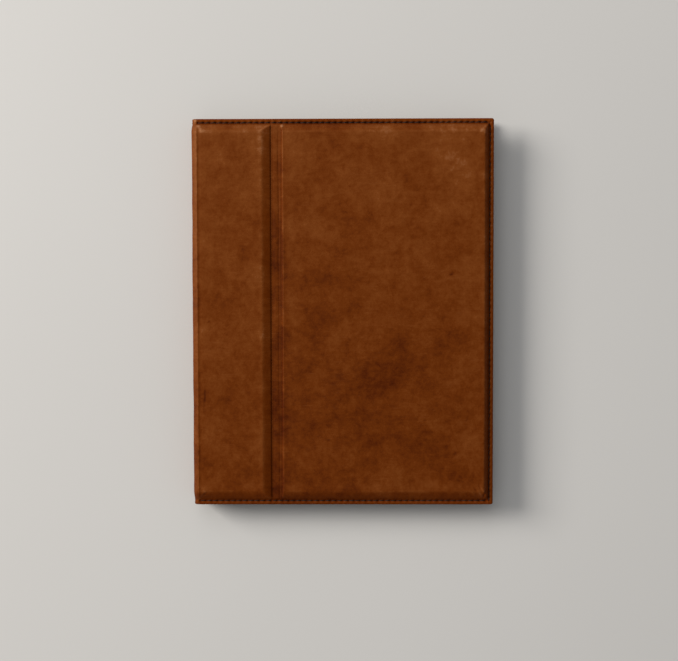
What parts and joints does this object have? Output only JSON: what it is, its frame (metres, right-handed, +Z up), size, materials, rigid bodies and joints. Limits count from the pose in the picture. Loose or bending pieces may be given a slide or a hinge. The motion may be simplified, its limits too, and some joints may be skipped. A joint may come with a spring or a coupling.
{
  "type": "photo album stand",
  "caption": "Ring-bound photo album in padded leather, whose front cover creases along a strip beside the spine and folds back as a prop.",
  "frame": {"origin": "middle of the closed album's footprint, on the surface it lies on", "axes": "+X from the spine to the fore edge, +Y along the spine from tail to head, +Z up through the thickness"},
  "size_m": [0.196, 0.252, 0.025],
  "materials": {
    "leather": "satin",
    "thread": "matte",
    "lining": "matte",
    "board": "matte",
    "foam": "matte",
    "nickel": "polished",
    "clear_film": "gloss",
    "card": "matte",
    "print": "gloss"
  },
  "bodies": {
    "back_cover": {"back_leather": "leather", "back_foam": "foam", "back_board": "board", "back_lining": "lining", "back_stitching": "thread", "ring_base_plate": "nickel", "mechanism_rivets": "nickel"},
    "spine": {"spine_leather": "leather", "spine_board": "board", "spine_lining": "lining", "spine_stitching": "thread"},
    "strip": {"strip_leather": "leather", "strip_foam": "foam", "strip_board": "board", "strip_lining": "lining", "strip_stitching": "thread"},
    "panel": {"panel_leather": "leather", "panel_foam": "foam", "panel_board": "board", "panel_lining": "lining", "panel_stitching": "thread"},
    "left_ring_bar": {"left_blade": "nickel", "left_half_rings": "nickel"},
    "right_ring_bar": {"right_blade": "nickel", "right_half_rings": "nickel"},
    "head_lever": {"head_lever": "nickel"},
    "tail_lever": {"tail_lever": "nickel"},
    "leaf_1": {"leaf_1_sleeve": "clear_film", "leaf_1_card": "card", "leaf_1_prints": "print"},
    "leaf_2": {"leaf_2_sleeve": "clear_film", "leaf_2_card": "card", "leaf_2_prints": "print"},
    "leaf_3": {"leaf_3_sleeve": "clear_film", "leaf_3_card": "card", "leaf_3_prints": "print"},
    "leaf_4": {"leaf_4_sleeve": "clear_film", "leaf_4_card": "card", "leaf_4_prints": "print"},
    "leaf_5": {"leaf_5_sleeve": "clear_film", "leaf_5_card": "card", "leaf_5_prints": "print"},
    "leaf_6": {"leaf_6_sleeve": "clear_film", "leaf_6_card": "card", "leaf_6_prints": "print"}
  },
  "joints": [
    {"name": "spine_hinge", "type": "hinge", "parent": "back_cover", "child": "spine", "pos_m": [-0.0974, 0, 0.0006], "axis": [0, 1, 0], "range_deg": [-90, 0]},
    {"name": "strip_hinge", "type": "hinge", "parent": "spine", "child": "strip", "pos_m": [-0.0974, 0, 0.0244], "axis": [0, -1, 0], "range_deg": [0, 115]},
    {"name": "crease_hinge", "type": "hinge", "parent": "strip", "child": "panel", "pos_m": [-0.0433, 0, 0.0215], "axis": [0, -1, 0], "range_deg": [0, 95]},
    {"name": "ring_open", "type": "hinge", "parent": "back_cover", "child": "left_ring_bar", "pos_m": [-0.086, 0, 0.00625], "axis": [0, 1, 0], "range_deg": [-10, 0]},
    {"name": "right_bar_turn", "type": "hinge", "parent": "back_cover", "child": "right_ring_bar", "pos_m": [-0.073, 0, 0.00625], "axis": [0, 1, 0], "range_deg": [0, 10]},
    {"name": "head_lever_tilt", "type": "hinge", "parent": "back_cover", "child": "head_lever", "pos_m": [-0.0795, 0.1004, 0.006], "axis": [1, 0, 0], "range_deg": [-20, 0]},
    {"name": "tail_lever_tilt", "type": "hinge", "parent": "back_cover", "child": "tail_lever", "pos_m": [-0.0795, -0.1004, 0.006], "axis": [1, 0, 0], "range_deg": [0, 20]},
    {"name": "leaf_1_turn", "type": "hinge", "parent": "back_cover", "child": "leaf_1", "pos_m": [-0.0795, 0, 0.01085], "axis": [0, -1, 0], "range_deg": [0, 78.2]},
    {"name": "leaf_2_turn", "type": "hinge", "parent": "back_cover", "child": "leaf_2", "pos_m": [-0.0795, 0, 0.01085], "axis": [0, -1, 0], "range_deg": [0, 81.7]},
    {"name": "leaf_3_turn", "type": "hinge", "parent": "back_cover", "child": "leaf_3", "pos_m": [-0.0795, 0, 0.01085], "axis": [0, -1, 0], "range_deg": [0, 85.1]},
    {"name": "leaf_4_turn", "type": "hinge", "parent": "back_cover", "child": "leaf_4", "pos_m": [-0.0795, 0, 0.01085], "axis": [0, -1, 0], "range_deg": [0, 88.6]},
    {"name": "leaf_5_turn", "type": "hinge", "parent": "back_cover", "child": "leaf_5", "pos_m": [-0.0795, 0, 0.01085], "axis": [0, -1, 0], "range_deg": [0, 92]},
    {"name": "leaf_6_turn", "type": "hinge", "parent": "back_cover", "child": "leaf_6", "pos_m": [-0.0795, 0, 0.01085], "axis": [0, -1, 0], "range_deg": [0, 95.5]}
  ],
  "couplings": [
    {"joint": "right_bar_turn", "follows": "ring_open", "ratio": -1},
    {"joint": "head_lever_tilt", "follows": "ring_open", "ratio": 2},
    {"joint": "tail_lever_tilt", "follows": "ring_open", "ratio": -2},
    {"joint": "leaf_1_turn", "follows": "strip_hinge", "ratio": 0.68},
    {"joint": "leaf_2_turn", "follows": "strip_hinge", "ratio": 0.71},
    {"joint": "leaf_3_turn", "follows": "strip_hinge", "ratio": 0.74},
    {"joint": "leaf_4_turn", "follows": "strip_hinge", "ratio": 0.77},
    {"joint": "leaf_5_turn", "follows": "strip_hinge", "ratio": 0.8},
    {"joint": "leaf_6_turn", "follows": "strip_hinge", "ratio": 0.83}
  ]
}
